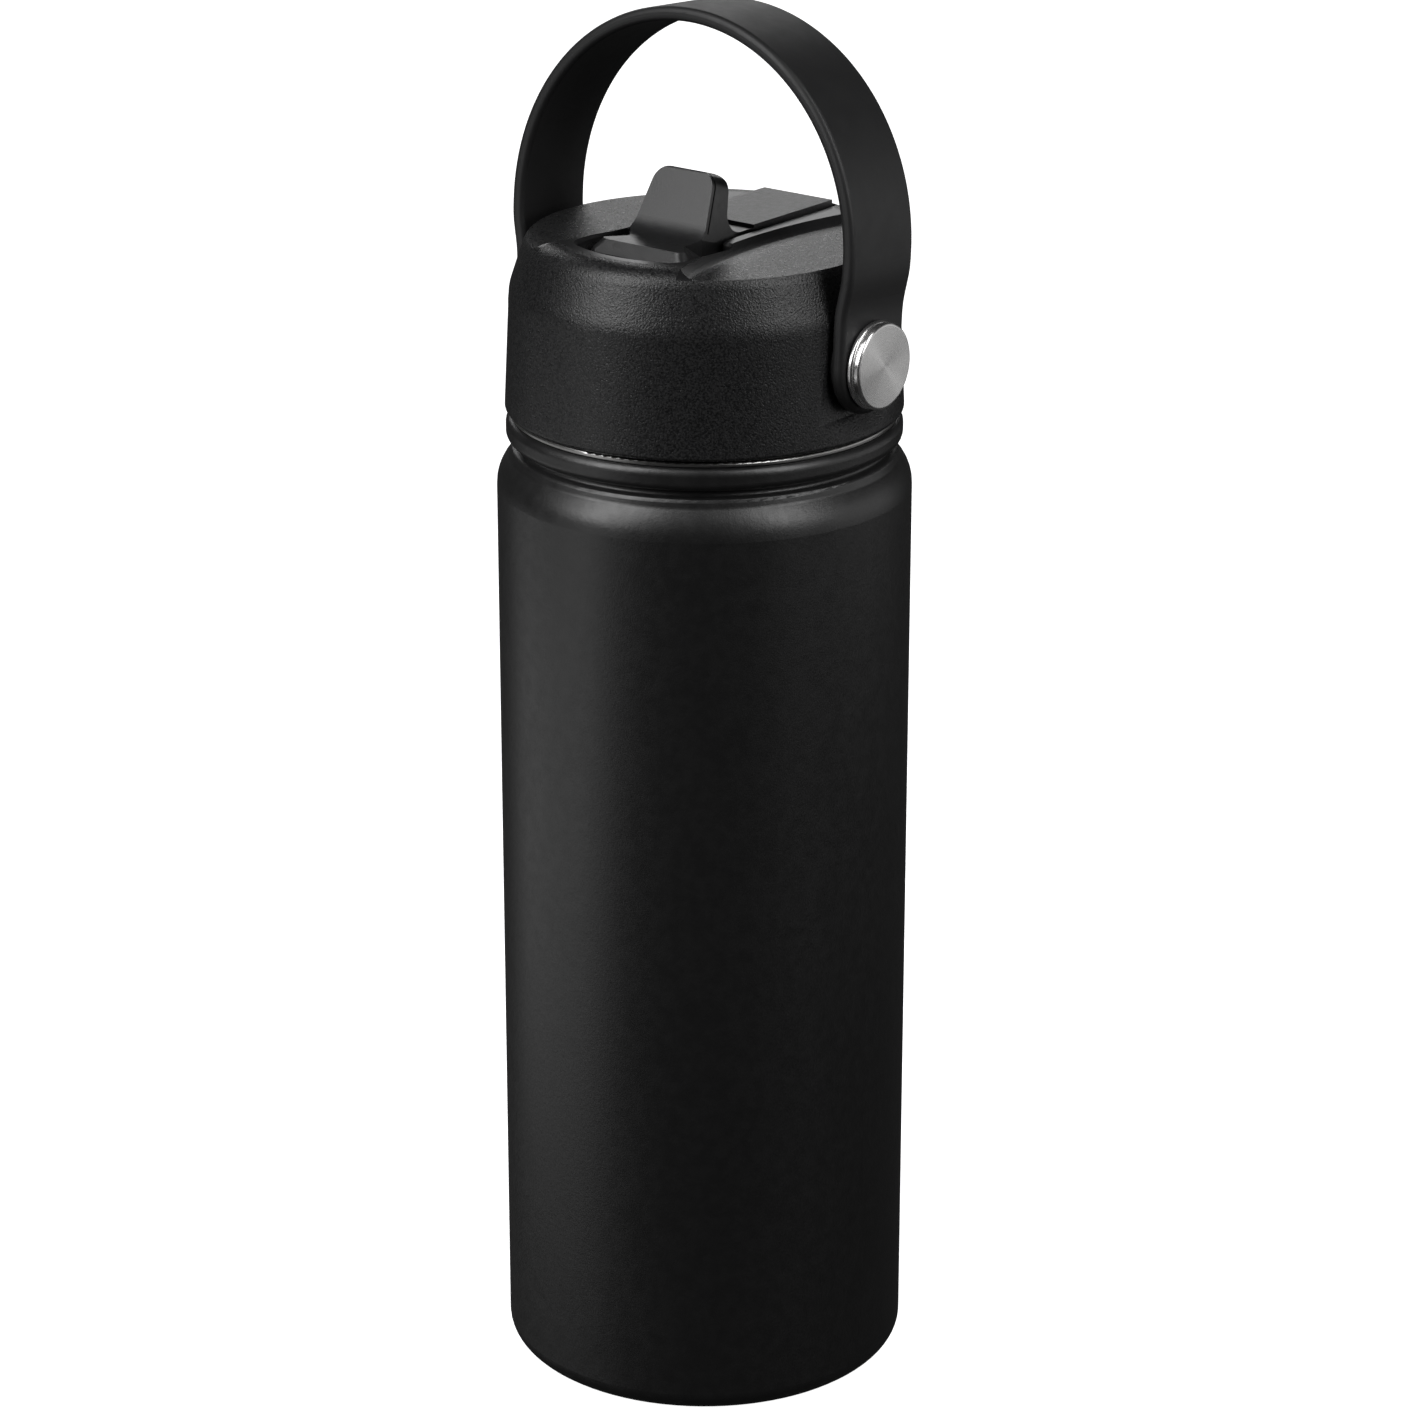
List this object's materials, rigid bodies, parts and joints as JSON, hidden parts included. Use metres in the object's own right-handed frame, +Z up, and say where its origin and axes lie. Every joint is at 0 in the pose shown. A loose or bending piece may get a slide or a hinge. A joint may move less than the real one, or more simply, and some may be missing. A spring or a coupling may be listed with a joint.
{
  "type": "insulated water bottle",
  "caption": "Double-walled steel bottle with a screw lid, a flip-up straw spout with a thumb tab and a swinging strap handle.",
  "frame": {"origin": "middle of the base, on the surface that the bottle stands on", "axes": "+Z up along the bottle's axis, +X along the strap's pivot bolts, -Y the front, where the thumb tab stands"},
  "size_m": [0.0776, 0.073, 0.2502],
  "materials": {
    "powder_coat": "fine matte powder coat",
    "polished_steel": "polished stainless steel",
    "liner_steel": "brushed stainless steel",
    "base_steel": "spun stainless steel",
    "bolt_steel": "turned face with a polished rim",
    "solder": "dull solder",
    "getter": "sintered pellet",
    "brass": "machined brass",
    "lid_plastic": "fine grained moulding",
    "cap_plastic": "plain moulding",
    "spout_plastic": "satin moulding",
    "straw_plastic": "milky clear plastic",
    "gasket_silicone": "soft translucent silicone",
    "mouth_silicone": "soft matte silicone",
    "strap_rubber": "smooth matte moulding"
  },
  "bodies": {
    "bottle": {"outer_shell": "powder_coat", "threaded_neck": "polished_steel", "inner_liner": "liner_steel", "base_plate": "base_steel", "vacuum_seal": "solder", "getter_clip": "liner_steel", "getter_pellet": "getter"},
    "gasket": {"lid_gasket": "gasket_silicone"},
    "lid": {"lid_shell": "lid_plastic", "thread_cap": "cap_plastic", "seat_seal": "gasket_silicone", "straw_port": "cap_plastic", "straw": "straw_plastic", "vent_valve": "gasket_silicone", "pivot_pin_left": "polished_steel", "pivot_pin_right": "polished_steel", "strap_insert_left": "brass", "strap_insert_right": "brass", "strap_bolt_left": "bolt_steel", "strap_bolt_right": "bolt_steel", "bolt_washer_left": "polished_steel", "bolt_washer_right": "polished_steel", "strap_spacer_left": "cap_plastic", "strap_spacer_right": "cap_plastic"},
    "spout": {"spout_cover": "spout_plastic", "spout_core": "cap_plastic", "mouthpiece": "mouth_silicone"},
    "handle": {"strap": "strap_rubber"}
  },
  "joints": [
    {"name": "lid_rise", "type": "slide", "parent": "bottle", "child": "gasket", "axis": [0, 0, 1], "range_m": [0, 0.0048]},
    {"name": "lid_unscrew", "type": "hinge", "parent": "gasket", "child": "lid", "pos_m": [0, 0, 0.19], "axis": [0, 0, 1], "range_deg": [0, 540]},
    {"name": "spout_flip", "type": "hinge", "parent": "lid", "child": "spout", "pos_m": [0, -0.005, 0.205], "axis": [1, 0, 0], "range_deg": [0, 90]},
    {"name": "handle_swing", "type": "hinge", "parent": "lid", "child": "handle", "pos_m": [0, 0, 0.1931], "axis": [1, 0, 0], "range_deg": [-86.5, 93.5]}
  ],
  "couplings": [
    {"joint": "lid_rise", "follows": "lid_unscrew", "m_per_rad": 0.0005093}
  ]
}
